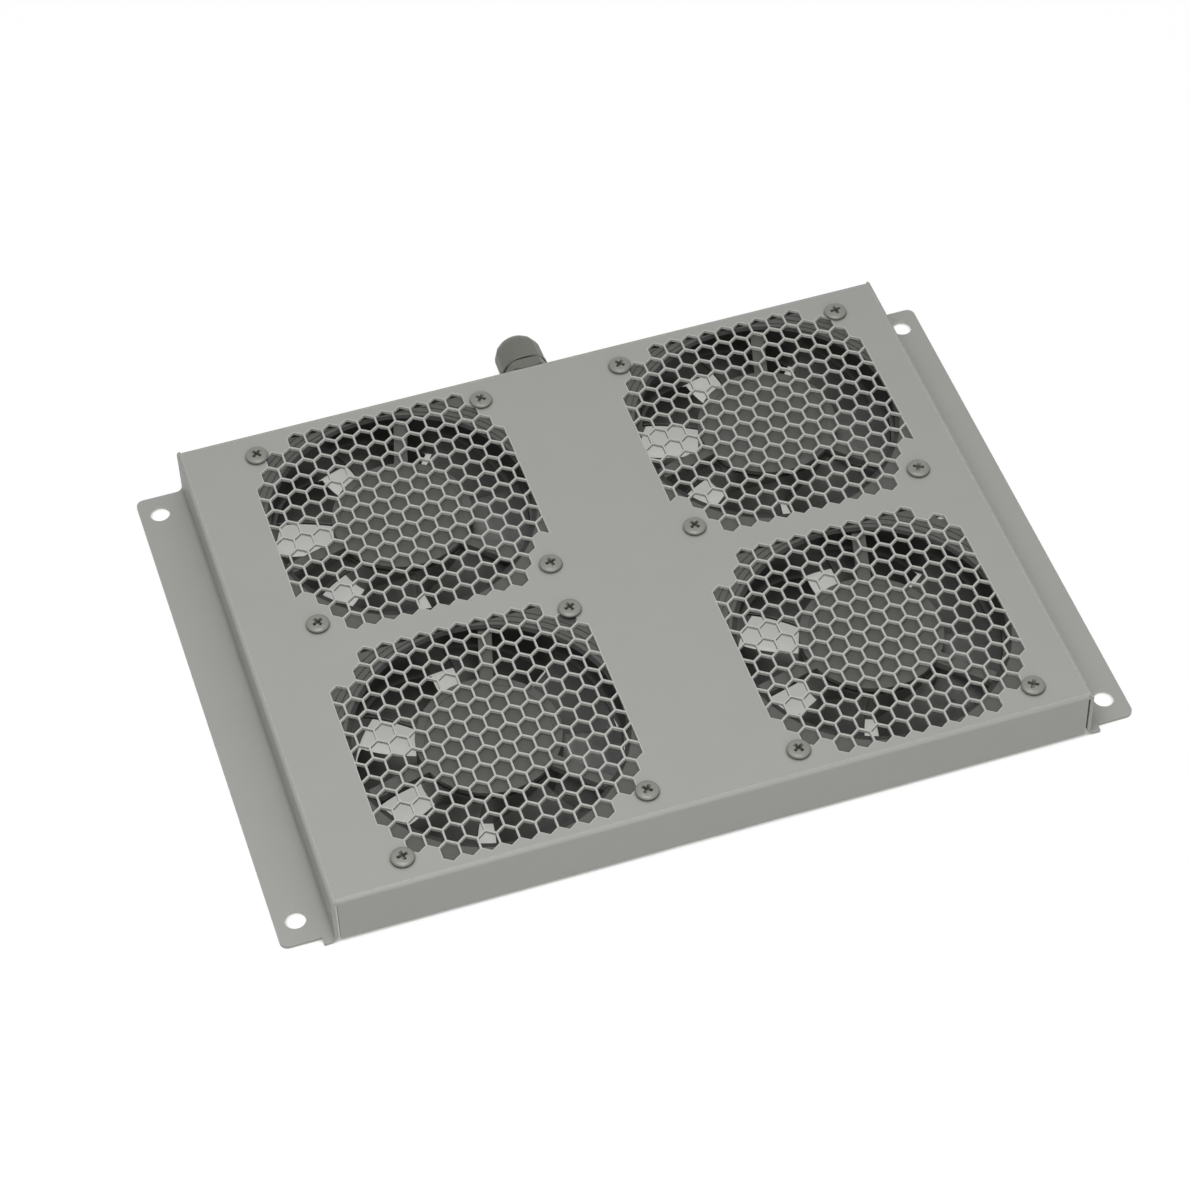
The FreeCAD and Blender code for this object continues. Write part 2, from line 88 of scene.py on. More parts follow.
# Folded sheet: its thickness, inside bend radii, the growth of the plate's flat that the sharper top bends
# leave, the flanges' corners, holes and set-back front ends, and the skirts' free ends
SHEET = 1.5
SHEET_EDGE = 0.16
TOP_BEND_IN = 0.2
TOP_BEND_GROWTH = 0.6
LOWER_BEND_IN = 3.0
BEND_STEPS = 8
FLANGE_CORNER_R = 3.5
FLANGE_SETBACK = 3.5
SETBACK_FROM_WALL = 4.9
FLANGE_HOLE_X = 179.0
FLANGE_HOLE_Y = 119.0
FLANGE_HOLE_R = 4.5
SKIRT_END_GAP = 0.9
SKIRT_CORNER_R = 3.5

# Fan screws: the head, with its crown as (depth below the top, radius), the thread, and the cross with the
# turn of each screw in degrees
SCREW_HEAD_R = 5.1
SCREW_HEAD_T = 2.4
SCREW_CROWN = (
    (0.0, 0.0), (0.03, 2.4), (0.13, 3.5), (0.32, 4.25), (0.62, 4.75), (1.0, 5.0), (1.3, SCREW_HEAD_R))
SCREW_HOLE_GAP = 0.25
SCREW_THREAD_R = 2.0
SCREW_THREAD_IN = 0.28
SCREW_PITCH = 0.7
SCREW_STEPS = 36
CROSS_L = 5.6
CROSS_W = 1.7
CROSS_DEPTH = 2.1
CROSS_TURNS = (38, 52, 15, 27, 44, 8, 61, 33, 20, 49, 12, 57, 30)

# Fan frames: the middle of the four axes, how far the axes are from it, the dark bore, and the ridges
FANS_MIDDLE = (5.5, -3.5)
FANS_APART = (85.5, 66.0)
BORE_R = 57.5
FAN_HALF = 60.0
RIDGE_RADII = (61.6, 64.6, 67.6)
RIDGE_W = 1.1
RIDGE_DEPTH = 0.55
FAN_T = 25.0
BASE_TOP = 24.0
BASE_STEP_R = 27.5
BASE_STEP = 0.35
CAST_EDGE = 0.3

# Impeller: hub cup and blades
HUB_R = 31.0
HUB_WALL = 2.0
HUB_Z0 = 1.5
HUB_Z1 = 19.3
HUB_EDGE = 2.4
HUB_DISH_R = 25.0
HUB_DISH = 0.4
HUB_STEPS = 96
BLADES = 7
BLADE_TIP_R = 56.4
BLADE_T = 1.5
BLADE_CAMBER = 2.2
BLADE_ROOT_PITCH = 31.0
BLADE_TIP_PITCH = 18.0
BLADE_LOW = 3.1
BLADE_HIGH = 17.7
BLADE_SINK = 1.0
BLADE_CHORD_CUTS = 18
BLADE_SPAN_CUTS = 10
BLADE_EDGE = 0.55
FAN_TURNS = {"back_left": 35.5, "back_right": 31.0, "front_left": 20.0, "front_right": 18.5}

# Cable gland, along its own axis from the tray's back face, with (height, radius) profiles
GLAND_BORE_R = 5.6
NUT_EDGE = 0.35
THREAD_R = 8.0
THREAD_IN = 0.7
THREAD_PITCH = 1.5
THREAD_END = -7.0
GLAND_HOLE_GAP = 0.2
WASHER_T = 1.5
COLLAR_AF = 22.0
COLLAR_END = 7.5
STUB_R = 9.0
STUB_END = 15.5
STUB_EDGE = 0.6
DOME_PROFILE = (
    (8.5, 9.0), (8.5, 10.9), (8.9, 11.3), (10.6, 11.3), (11.2, 11.25), (19.5, 11.1), (22.0, 10.5),
    (24.0, 9.5), (25.3, 8.3), (26.0, 7.0), (26.0, 5.5), (25.5, 5.0), (23.0, 5.0), (23.0, 9.0))
DOME_FLATS = 14
DOME_FLATS_Z = (11.0, 24.5)
DOME_INSIDE_R = 9.2
WASHER_PROFILE = (
    (0.0, THREAD_R), (0.0, 10.1), (0.35, 10.5), (1.15, 10.5), (WASHER_T, 10.1), (WASHER_T, THREAD_R))
INSERT_PROFILE = (
    (STUB_END, 4.3), (STUB_END, 8.3), (STUB_END + 0.4, 8.7), (22.2, 8.7), (23.0, 7.9), (23.0, 4.6),
    (22.4, 4.0), (16.1, 4.0))
LOCKNUT_Z = (-5.5, -1.5)

# Camera, and the strength of the world's light at the horizon, overhead and from the left
PHOTO_SIZE = 1188
FOCAL_PX = 3590.0
SENSOR = 36.0
CAMERA_AT = (-302.42, -987.29, 1194.48)
CAMERA_TO = (-14.98, -11.97, 26.5)
CAMERA_ROLL = -2.085
HORIZON = 0.08
ZENITH = 0.62
LEFT_SKY = 0.62

# Floor, in metres: how much of it is plain white to the camera, the reach and range of its faint shadow, and
# its light on the tray's underside with half the width and depth of that light in millimetres
FLOOR_SIZE = 30.0
FLOOR_DROP = 0.0004
FLOOR_GLOW = 0.85
SHADOW_REACH = 0.05
SHADOW_RANGE = (0.28, 0.5)
UNDER_GLOW = 0.5
UNDER_HALF = (186.0, 131.0)


def srgb(r, g, b):
    """A colour given in 0 to 255 as the linear colour that nodes take."""
    linear = [((c / 255 + 0.055) / 1.055) ** 2.4 if c > 10 else c / 255 / 12.92 for c in (r, g, b)]
    return (*linear, 1.0)


class Wiring:
    """The nodes of one material, group or world, and short calls that add to them."""

    def __init__(self, tree):
        self.tree = tree

    def add(self, kind, inputs=None, **settings):
        node = self.tree.nodes.new(kind)
        for key, value in settings.items():
            setattr(node, key, value)
        for key, value in (inputs or {}).items():
            if isinstance(value, bpy.types.NodeSocket):
                self.tree.links.new(value, node.inputs[key])
            else:
                node.inputs[key].default_value = value
        return node

    def math(self, operation, a, b=0.0, clamp=False):
        return self.add("ShaderNodeMath", {0: a, 1: b}, operation=operation, use_clamp=clamp).outputs[0]

    def mix(self, factor, a, b, blend="MIX"):
        node = self.add("ShaderNodeMix", {0: factor, 6: a, 7: b}, data_type="RGBA", blend_type=blend)
        return node.outputs[2]

    def remap(self, value, low, high, new_low, new_high):
        inputs = {"Value": value, "From Min": low, "From Max": high, "To Min": new_low, "To Max": new_high}
        return self.add("ShaderNodeMapRange", inputs).outputs[0]

    def noise(self, vector, scale, detail=2.0, roughness=0.5):
        inputs = {"Vector": vector, "Scale": scale, "Detail": detail, "Roughness": roughness}
        return self.add("ShaderNodeTexNoise", inputs).outputs["Fac"]


def effect(name, inputs, outputs):
    """An empty shader node group with named sockets: its wiring, its inputs and its output node."""
    tree = bpy.data.node_groups.new(name, "ShaderNodeTree")
    for socket, kind, value in inputs:
        made = tree.interface.new_socket(name=socket, in_out="INPUT", socket_type="NodeSocket" + kind)
        if value is not None:
            made.default_value = value
    for socket, kind in outputs:
        tree.interface.new_socket(name=socket, in_out="OUTPUT", socket_type="NodeSocket" + kind)
    wiring = Wiring(tree)
    return wiring, wiring.add("NodeGroupInput").outputs, wiring.add("NodeGroupOutput").inputs


def mottle_effect():
    """Colour that varies a little in soft clouds, as coats and castings do."""
    w, given, put = effect(
        "mottle",
        [("Vector", "Vector", None), ("Base", "Color", (0.5, 0.5, 0.5, 1.0)), ("Shift", "Float", 0.05),
         ("Cloud size", "Float", 30.0)],
        [("Color", "Color")])
    clouds = w.noise(given["Vector"], given["Cloud size"], detail=4.0, roughness=0.6)
    low = w.math("SUBTRACT", 1.0, given["Shift"])
    high = w.math("ADD", 1.0, given["Shift"])
    value = w.remap(clouds, 0.3, 0.7, low, high)
    toned = w.add("ShaderNodeHueSaturation", {"Value": value, "Color": given["Base"]})
    w.tree.links.new(toned.outputs["Color"], put["Color"])
    return w.tree


def grain_effect():
    """A fine grain over a slower wave, as a height and as a change of roughness."""
    w, given, put = effect(
        "grain",
        [("Vector", "Vector", None), ("Fine", "Float", 2500.0), ("Coarse", "Float", 300.0),
         ("Coarse share", "Float", 0.4), ("Roughness", "Float", 0.5), ("Roughness shift", "Float", 0.08)],
        [("Height", "Float"), ("Roughness", "Float")])
    fine = w.noise(given["Vector"], given["Fine"], detail=2.0)
    coarse = w.noise(given["Vector"], given["Coarse"], detail=3.0)
    height = w.math("ADD", fine, w.math("MULTIPLY", coarse, given["Coarse share"]))
    shift = w.math("MULTIPLY", w.math("SUBTRACT", coarse, 0.5), given["Roughness shift"])
    w.tree.links.new(height, put["Height"])
    w.tree.links.new(w.math("ADD", given["Roughness"], shift, clamp=True), put["Roughness"])
    return w.tree


def wear_effect():
    """A mask of convex edges, broken up by noise, for wear and for painted highlights."""
    w, given, put = effect(
        "edge_wear_and_highlight",
        [("Vector", "Vector", None), ("Radius", "Float", 0.0004), ("Amount", "Float", 0.5),
         ("Breakup", "Float", 600.0)],
        [("Mask", "Float")])
    rounded = w.add("ShaderNodeBevel", {"Radius": given["Radius"]}, samples=4)
    plain = w.add("ShaderNodeNewGeometry").outputs["Normal"]
    inputs = {0: rounded.outputs["Normal"], 1: plain}
    alike = w.add("ShaderNodeVectorMath", inputs, operation="DOT_PRODUCT").outputs["Value"]
    edge = w.remap(alike, 0.995, 0.8, 0.0, 1.0)
    broken = w.remap(w.noise(given["Vector"], given["Breakup"], detail=4.0), 0.3, 0.55, 0.0, 1.0)
    mask = w.math("MULTIPLY", w.math("MULTIPLY", edge, broken), given["Amount"], clamp=True)
    w.tree.links.new(mask, put["Mask"])
    return w.tree


def lines_effect():
    """Fine parallel lines along one axis of the vector given, as turned, ground or stacked metal has."""
    w, given, put = effect(
        "lines",
        [("Vector", "Vector", None), ("Pitch", "Float", 1000.0), ("Waver", "Float", 0.3)],
        [("Height", "Float")])
    wave = w.add("ShaderNodeTexWave",
                 {"Vector": given["Vector"], "Scale": given["Pitch"], "Distortion": given["Waver"],
                  "Detail": 2.0, "Detail Scale": 1.5},
                 wave_type="BANDS", bands_direction="Z", wave_profile="SIN")
    w.tree.links.new(wave.outputs["Fac"], put["Height"])
    return w.tree


def crevice_effect():
    """A mask for painted shade in recesses and tight joints, found by an occlusion test, but not of what
    stands on the floor.
    """
    w, given, put = effect(
        "crevice",
        [("Vector", "Vector", None), ("Depth", "Float", 0.0015), ("Amount", "Float", 0.5)],
        [("Mask", "Float")])
    open_round = w.add("ShaderNodeAmbientOcclusion", {"Distance": given["Depth"]}, samples=5).outputs["AO"]
    closed = w.remap(open_round, 0.8, 0.35, 0.0, 1.0)
    uneven = w.remap(w.noise(given["Vector"], 900.0), 0.3, 0.7, 0.75, 1.0)
    height = w.add("ShaderNodeSeparateXYZ", {0: given["Vector"]}).outputs["Z"]
    above = w.remap(height, 0.0002, 0.0008, 0.0, 1.0)
    amount = w.math("MULTIPLY", given["Amount"], above)
    mask = w.math("MULTIPLY", w.math("MULTIPLY", closed, uneven), amount, clamp=True)
    w.tree.links.new(mask, put["Mask"])
    return w.tree


def fan_radius_effect():
    """How far a point is from the axis of its fan, in metres."""
    w, given, put = effect("fan_radius", [("Vector", "Vector", None)], [("Radius", "Float")])
    place = w.add("ShaderNodeSeparateXYZ", {0: given["Vector"]}).outputs
    squares = []
    for axis, middle, apart in zip("XY", FANS_MIDDLE, FANS_APART):
        from_middle = w.math("ABSOLUTE", w.math("SUBTRACT", place[axis], middle * MM))
        squares.append(w.math("POWER", w.math("ABSOLUTE", w.math("SUBTRACT", from_middle, apart * MM)), 2.0))
    w.tree.links.new(w.math("SQRT", w.math("ADD", squares[0], squares[1])), put["Radius"])
    return w.tree


MOTTLE = mottle_effect()
GRAIN = grain_effect()
WEAR_AND_HIGHLIGHT = wear_effect()
LINES = lines_effect()
CREVICE = crevice_effect()
FAN_RADIUS = fan_radius_effect()
# The near-black colour of the painted shade in recesses and joints.
PAINTED_SHADE_COLOUR = srgb(40, 40, 38)


class Finish(Wiring):
    """A material: a Principled shader, its Object coordinates and the shared effects."""

    def __init__(self, name, **constants):
        self.material = bpy.data.materials.new(name)
        self.material.use_nodes = True
        super().__init__(self.material.node_tree)
        self.tree.nodes.clear()
        self.place = self.add("ShaderNodeTexCoord").outputs["Object"]
        self.shader = self.add("ShaderNodeBsdfPrincipled", constants)
        out = self.add("ShaderNodeOutputMaterial")
        self.tree.links.new(self.shader.outputs["BSDF"], out.inputs["Surface"])

    def use(self, effect_tree, **values):
        node = self.add("ShaderNodeGroup", node_tree=effect_tree)
        self.tree.links.new(self.place, node.inputs["Vector"])
        for key, value in values.items():
            socket = node.inputs[key.replace("_", " ")]
            if isinstance(value, bpy.types.NodeSocket):
                self.tree.links.new(value, socket)
            else:
                socket.default_value = value
        return node.outputs

    def into(self, **sockets):
        for key, value in sockets.items():
            self.tree.links.new(value, self.shader.inputs[key.replace("_", " ")])

    def bump(self, height, distance, strength=1.0):
        node = self.add("ShaderNodeBump", {"Height": height, "Distance": distance, "Strength": strength})
        self.into(Normal=node.outputs["Normal"])


def coated(name, colour, worn, shift, rough, fine, depth=0.00003, wear_and_highlight=0.0, painted_shade=0.0):
    """A coat or moulded skin: mottled colour, grain in height and gloss, worn edges (on the sheet partly a
    painted highlight) and painted shade in joints.
    """
    f = Finish(name, **{"Specular IOR Level": 0.4})
    colour_out = f.use(MOTTLE, Base=colour, Shift=shift, Cloud_size=45.0)["Color"]
    grain = f.use(GRAIN, Fine=fine, Coarse=fine / 7, Coarse_share=0.5, Roughness=rough)
    # Lighter edges: wear, and on the sheet's coat at full strength partly a painted highlight.
    colour_out = f.mix(f.use(WEAR_AND_HIGHLIGHT, Amount=wear_and_highlight)["Mask"], colour_out, worn)
    # Painted shade: recesses and tight joints darkened through an ambient occlusion mask.
    if painted_shade:
        colour_out = f.mix(f.use(CREVICE, Amount=painted_shade)["Mask"], colour_out, PAINTED_SHADE_COLOUR)
    f.into(Base_Color=colour_out, Roughness=grain["Roughness"])
    f.bump(grain["Height"], depth)
    return f.material


def blade_plastic():
    """The impellers' plastic: greyer towards the hub as painted light, and nearly black at the tips as
    painted shade.
    """
    f = Finish("blade_plastic", **{"Specular IOR Level": 0.5})
    # Painted light near the hub, fading to painted shade at the blade tips.
    hub_light_to_tip_shade = f.remap(f.use(FAN_RADIUS)["Radius"], (HUB_R + 2) * MM, (BLADE_TIP_R - 7) * MM, 0.0, 1.0)
    tone = f.mix(hub_light_to_tip_shade, srgb(74, 74, 71), srgb(38, 38, 37))
    colour_out = f.use(MOTTLE, Base=tone, Shift=0.06, Cloud_size=45.0)["Color"]
    grain = f.use(GRAIN, Fine=1200.0, Coarse=170.0, Coarse_share=0.5, Roughness=0.45)
    worn = f.mix(f.use(WEAR_AND_HIGHLIGHT, Amount=0.2)["Mask"], colour_out, srgb(96, 96, 92))
    f.into(Base_Color=worn, Roughness=grain["Roughness"])
    f.bump(grain["Height"], 0.00003)
    return f.material


def cast_aluminium():
    """The fan frames: cast grey, nearly black in the bore and on its rim."""
    f = Finish("cast_frame", **{"Specular IOR Level": 0.4})
    r = f.use(FAN_RADIUS)["Radius"]
    past_bore = f.remap(r, (BORE_R - 0.9) * MM, (BORE_R - 0.4) * MM, 0.0, 1.0)
    in_rim = f.remap(r, (FAN_HALF - 0.5) * MM, (FAN_HALF - 0.1) * MM, 1.0, 0.0)
    tone = f.use(MOTTLE, Base=srgb(86, 86, 83), Shift=0.05, Cloud_size=45.0)["Color"]
    grain = f.use(GRAIN, Fine=900.0, Coarse=130.0, Coarse_share=0.5, Roughness=0.5)
    worn = f.mix(f.use(WEAR_AND_HIGHLIGHT, Amount=0.3)["Mask"], tone, srgb(122, 122, 117))
    f.into(Base_Color=f.mix(f.math("MULTIPLY", past_bore, in_rim), worn, srgb(34, 34, 33)),
           Roughness=grain["Roughness"])
    f.bump(grain["Height"], 0.00006)
    return f.material


def metal(name, colour, rough, pitch=None, depth=0.00002, shift=0.06, metallic=1.0, painted_shade=0.0):
    """Bare or plated metal: mottled colour, fine lines or grain, brighter edges and painted shade in
    recesses.
    """
    f = Finish(name, **{"Metallic": metallic})
    colour_out = f.use(MOTTLE, Base=colour, Shift=shift, Cloud_size=200.0)["Color"]
    grain = f.use(GRAIN, Fine=1800.0, Coarse=260.0, Roughness=rough, Roughness_shift=0.2)
    worn = [min(1.0, 1.5 * c) for c in colour[:3]] + [1.0]
    colour_out = f.mix(f.use(WEAR_AND_HIGHLIGHT, Amount=0.4)["Mask"], colour_out, worn)
    # Painted shade: recesses and tight joints darkened through an ambient occlusion mask.
    if painted_shade:
        colour_out = f.mix(f.use(CREVICE, Amount=painted_shade)["Mask"], colour_out, PAINTED_SHADE_COLOUR)
    f.into(Base_Color=colour_out, Roughness=grain["Roughness"])
    height = grain["Height"]
    if pitch:
        height = f.math("ADD", height, f.use(LINES, Pitch=pitch)["Height"])
    f.bump(height, depth)
    return f.material


def stacked_steel():
    """The core's laminations, as dark joints between bright sheets."""
    f = Finish("laminated_steel", **{"Metallic": 0.9})
    sheets = f.use(LINES, Pitch=320.0, Waver=0.1)["Height"]
    f.into(Base_Color=f.mix(sheets, srgb(60, 58, 54), srgb(150, 148, 142)))
    f.into(Roughness=f.use(GRAIN, Roughness=0.45)["Roughness"])
    f.bump(sheets, 0.0001)
    return f.material


def windings():
    """Enamelled copper wire, as round strands side by side."""
    f = Finish("enamelled_copper", **{"Metallic": 0.85, "Coat Roughness": 0.15})
    strands = f.use(LINES, Pitch=700.0, Waver=0.6)["Height"]
    tone = f.use(MOTTLE, Base=srgb(176, 98, 56), Shift=0.15, Cloud_size=150.0)["Color"]
    f.into(Base_Color=f.mix(strands, srgb(90, 42, 22), tone))
    f.into(Roughness=f.use(GRAIN, Roughness=0.3)["Roughness"])
    f.bump(strands, 0.00015)
    return f.material


# The sheet's coat: its lighter edges at full strength are partly wear and partly a painted highlight, and
# its recesses and joints carry painted shade.
PAINT = coated("powder_coat", srgb(164, 165, 160), srgb(196, 197, 191), 0.012, 0.5, 1600.0,
               wear_and_highlight=1.0, painted_shade=0.85)
# A lighter copy of the sheet's coat for the webs round the holes: a painted highlight.
WEB_PAINTED_HIGHLIGHT = coated("powder_coat_with_painted_highlight_on_webs", srgb(186, 187, 181), srgb(196, 197, 191), 0.012, 0.5, 1600.0)
CAST = cast_aluminium()
BLADES_BLACK = blade_plastic()
BLACK = coated("glass_filled_plastic", srgb(40, 40, 38), srgb(74, 74, 70), 0.06, 0.5, 1200.0, wear_and_highlight=0.2)
# The gland's nylon carries painted shade in its recesses and joints.
NYLON = coated("gland_polyamide", srgb(109, 109, 103), srgb(134, 134, 127), 0.03, 0.42, 1300.0, 0.00002,
               wear_and_highlight=0.3, painted_shade=0.6)
RUBBER = coated("black_rubber", srgb(46, 46, 45), srgb(70, 70, 68), 0.08, 0.7, 1000.0, 0.00004, wear_and_highlight=0.1)
FERRITE = coated("ferrite", srgb(62, 62, 64), srgb(100, 100, 102), 0.08, 0.6, 1500.0, wear_and_highlight=0.4)
# The screws' zinc carries painted shade in its recesses and joints.
ZINC = metal("zinc_plate", srgb(136, 136, 130), 0.5, metallic=0.4, painted_shade=0.95)
BRONZE = metal("sintered_bronze", srgb(168, 128, 76), 0.45)
GROUND = metal("ground_steel", srgb(190, 190, 188), 0.22, pitch=1500.0, depth=0.00001)
TINNED = metal("tinned_brass", srgb(196, 192, 180), 0.3)
CORE = stacked_steel()
COPPER = windings()


def box_mm(node):
    """The lowest and highest corner of a CAD node, in millimetres."""
    low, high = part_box(node)
    return low / MM, high / MM


def axis_of(fan):
    """The point on a fan's axis at the underside of its frame, in millimetres."""
    low, high = box_mm(f"fan_housing_{fan}")
    return Vector(((low.x + high.x) / 2, (low.y + high.y) / 2, 0.0))


def turn_z(degrees):
    """A turn about the upright axis."""
    return Matrix.Rotation(math.radians(degrees), 4, "Z")


def mesh_of(bm, name):
    """The bmesh as a mesh in metres."""
    bmesh.ops.scale(bm, vec=Vector((MM, MM, MM)), verts=bm.verts)
    mesh = bpy.data.meshes.new(name)
    bm.to_mesh(mesh)
    bm.free()
    return mesh


def piece(bm, name, body, material, nodes, smooth=None):
    """The bmesh as a piece: smooth below an angle, riding on its body and standing for its nodes."""
    if smooth is not None:
        for face in bm.faces:
            face.smooth = True
        for edge in bm.edges:
            edge.smooth = len(edge.link_faces) == 2 and edge.calc_face_angle(0.0) < math.radians(smooth)
    obj = bpy.data.objects.new(name, mesh_of(bm, name))
    bpy.context.scene.collection.objects.link(obj)
    obj.data.materials.append(material)
    if smooth is not None:
        weighted = obj.modifiers.new("even_normals", "WEIGHTED_NORMAL")
        weighted.keep_sharp = True
    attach(obj, body)
    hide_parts(*nodes)
    return obj


def merged_copy(node):
    """A CAD node's mesh in millimetres, with its loose triangles merged into flat faces."""
    bm = bmesh.new()
    bm.from_mesh(frame["nodes"][node].data)
    bmesh.ops.scale(bm, vec=Vector((1 / MM, 1 / MM, 1 / MM)), verts=bm.verts)
    bmesh.ops.remove_doubles(bm, verts=bm.verts, dist=0.004)
    bmesh.ops.dissolve_limit(bm, angle_limit=math.radians(0.6), verts=bm.verts, edges=bm.edges)
    return bm


def sharp_edges(bm, degrees=SHARP, keep=None):
    """The edges over an angle, apart from those that keep names."""
    angle = math.radians(degrees)
    found = [e for e in bm.edges if len(e.link_faces) == 2 and e.calc_face_angle(0.0) > angle]
    return [e for e in found if keep is None or not keep(e)]


def whole(bm):
    """All that a bmesh is made of, as the operators take it."""
    return list(bm.verts) + list(bm.edges) + list(bm.faces)


def extruded(bm, way):
    """The bmesh's faces pushed along a vector into a solid."""
    made = bmesh.ops.extrude_face_region(bm, geom=list(bm.faces), use_keep_orig=True)["geom"]
    far = [g for g in made if isinstance(g, bmesh.types.BMVert)]
    bmesh.ops.translate(bm, vec=Vector(way), verts=far)
    bmesh.ops.recalc_face_normals(bm, faces=bm.faces)
    return bm


def round_off(bm, edges, width, segments=2):
    """Rounds edges."""
    bmesh.ops.bevel(bm, geom=edges, offset=width, segments=segments, profile=0.5, affect="EDGES",
                    clamp_overlap=True, material=-1)


def lathe(points, steps, close=False):
    """A solid of revolution about Z from (height, radius) points, closed at the axis or into a ring."""
    bm = bmesh.new()
    verts = [bm.verts.new((r, 0.0, z)) for z, r in points]
    edges = [bm.edges.new(pair) for pair in zip(verts, verts[1:])]
    if close:
        edges.append(bm.edges.new((verts[-1], verts[0])))
    bmesh.ops.spin(bm, geom=verts + edges, cent=(0, 0, 0), axis=(0, 0, 1), angle=2 * math.pi, steps=steps,
                   use_merge=True)
    bmesh.ops.remove_doubles(bm, verts=bm.verts, dist=0.001)
    bmesh.ops.recalc_face_normals(bm, faces=bm.faces)
    return bm


def rod(r, low, high):
    """A rod on the Z axis between two heights."""
    return lathe([(low, 0.0), (low, r), (high, r), (high, 0.0)], HOLE_STEPS)


def join(bm, other, matrix=None):
    """Adds another bmesh, moved by the matrix, and frees it."""
    if matrix is not None:
        bmesh.ops.transform(other, matrix=matrix, verts=other.verts)
    mesh = bpy.data.meshes.new("joined")
    other.to_mesh(mesh)
    other.free()
    bm.from_mesh(mesh)
    bpy.data.meshes.remove(mesh)
    return bm


def carved(bm, cutter):
    """The bmesh less the cutter."""
    parts = []
    for shape in (bm, cutter):
        mesh = bpy.data.meshes.new("carving")
        shape.to_mesh(mesh)
        shape.free()
        obj = bpy.data.objects.new("carving", mesh)
        bpy.context.scene.collection.objects.link(obj)
        parts.append(obj)
    cut = parts[0].modifiers.new("cut", "BOOLEAN")
    cut.object = parts[1]
    cut.operation = "DIFFERENCE"
    cut.solver = "EXACT"
    bpy.context.view_layer.update()
    left = bpy.data.meshes.new_from_object(parts[0].evaluated_get(bpy.context.evaluated_depsgraph_get()))
    result = bmesh.new()
    result.from_mesh(left)
    for obj in parts:
        bpy.data.objects.remove(obj)
    bpy.data.meshes.remove(left)
    return result


def grille_cells(fan, z):
    """The cells of one grille, side by side, cut by its straight sides."""
    bm = bmesh.new()
    middle = axis_of(fan)
    rows = ROW_ENDS[fan]
    for i, (first, last) in enumerate(rows):
        y = middle.y + ((len(rows) - 1) / 2 - i) * PITCH_Y + ROW_SHIFT
        for step in range(int(last - first) + 1):
            x = middle.x + (first + step) * PITCH_X
            cell = bmesh.ops.create_circle(bm, cap_ends=True, segments=6, radius=1.0)["verts"]
            size = Vector((PITCH_X / SIX_SIDED_WIDTH, PITCH_Y / SIX_SIDED_RISE, 1.0))
            bmesh.ops.scale(bm, vec=size, verts=cell)
            bmesh.ops.translate(bm, vec=Vector((x, y, z)), verts=cell)
    bmesh.ops.remove_doubles(bm, verts=bm.verts, dist=0.02)
    for side in (-1, 1):
        cut = (middle.x + side * (GRILLE_HALF + WEB / 2), 0, 0)
        bmesh.ops.bisect_plane(bm, geom=whole(bm), dist=0.001, plane_co=cut, plane_no=(side, 0, 0),
                               clear_outer=True)
    bmesh.ops.recalc_face_normals(bm, faces=bm.faces)
    for face in bm.faces:
        if face.normal.z < 0:
            face.normal_flip()
    return bm


def screw_places(fan):
    """The (x, y) of each screw of one fan: the middles of the corner stretches that its CAD node fills."""
    verts = frame["nodes"][f"fan_screws_{fan}"].data.vertices
    middle = axis_of(fan)
    groups = {}
    for vert in verts:
        x, y = vert.co.x / MM, vert.co.y / MM
        groups.setdefault((x > middle.x, y > middle.y), []).append((x, y))
    places = []
    for points in groups.values():
        xs = [p[0] for p in points]
        ys = [p[1] for p in points]
        places.append(((min(xs) + max(xs)) / 2, (min(ys) + max(ys)) / 2))
    return places


def flat_plate():
    """The flat of the plate between its bends: its lowest and highest corner."""
    low, high = box_mm("top_plate")
    growth = Vector((TOP_BEND_GROWTH, TOP_BEND_GROWTH, 0.0))
    return low - growth, high + growth


def grille_plate():
    """The plate: its outline, screw holes and grilles filled as one sheet, then given its thickness."""
    low, high = flat_plate()
    bm = bmesh.new()
    for fan in FANS:
        join(bm, grille_cells(fan, high.z))
    cells = list(bm.faces)
    # The webs and chamfers round each hole take the second material, the painted highlight.
    for width, depth in ((WEB / 2 - HOLE_CHAMFER, 0.0), (HOLE_CHAMFER, -HOLE_CHAMFER * 0.7)):
        webs = bmesh.ops.inset_individual(bm, faces=cells, thickness=width, depth=depth,
                                          use_even_offset=True)
        for face in webs["faces"]:
            face.material_index = 1
    rims = [e for e in bm.edges if e.is_boundary]
    outline = [bm.verts.new((x, y, high.z)) for x, y in
               ((low.x, low.y), (high.x, low.y), (high.x, high.y), (low.x, high.y))]
    rims += [bm.edges.new(pair) for pair in zip(outline, outline[1:] + outline[:1])]
    for fan in FANS:
        for x, y in screw_places(fan):
            made = bmesh.ops.create_circle(bm, segments=16, radius=SCREW_THREAD_R + SCREW_HOLE_GAP)["verts"]
            bmesh.ops.translate(bm, vec=Vector((x, y, high.z)), verts=made)
            rims += {e for v in made for e in v.link_edges}
    bmesh.ops.delete(bm, geom=cells, context="FACES_ONLY")
    bmesh.ops.triangle_fill(bm, use_beauty=True, use_dissolve=False, edges=rims, normal=(0, 0, 1))
    for face in bm.faces:
        if face.normal.z < 0:
            face.normal_flip()
    made = bmesh.ops.extrude_face_region(bm, geom=list(bm.faces), use_keep_orig=True)
    for vert in made["geom"]:
        if isinstance(vert, bmesh.types.BMVert):
            vert.co.z = low.z
    bmesh.ops.recalc_face_normals(bm, faces=bm.faces)
    plate = piece(bm, "grille_plate", ROOT, PAINT, ["top_plate"])
    plate.data.materials.append(WEB_PAINTED_HIGHLIGHT)


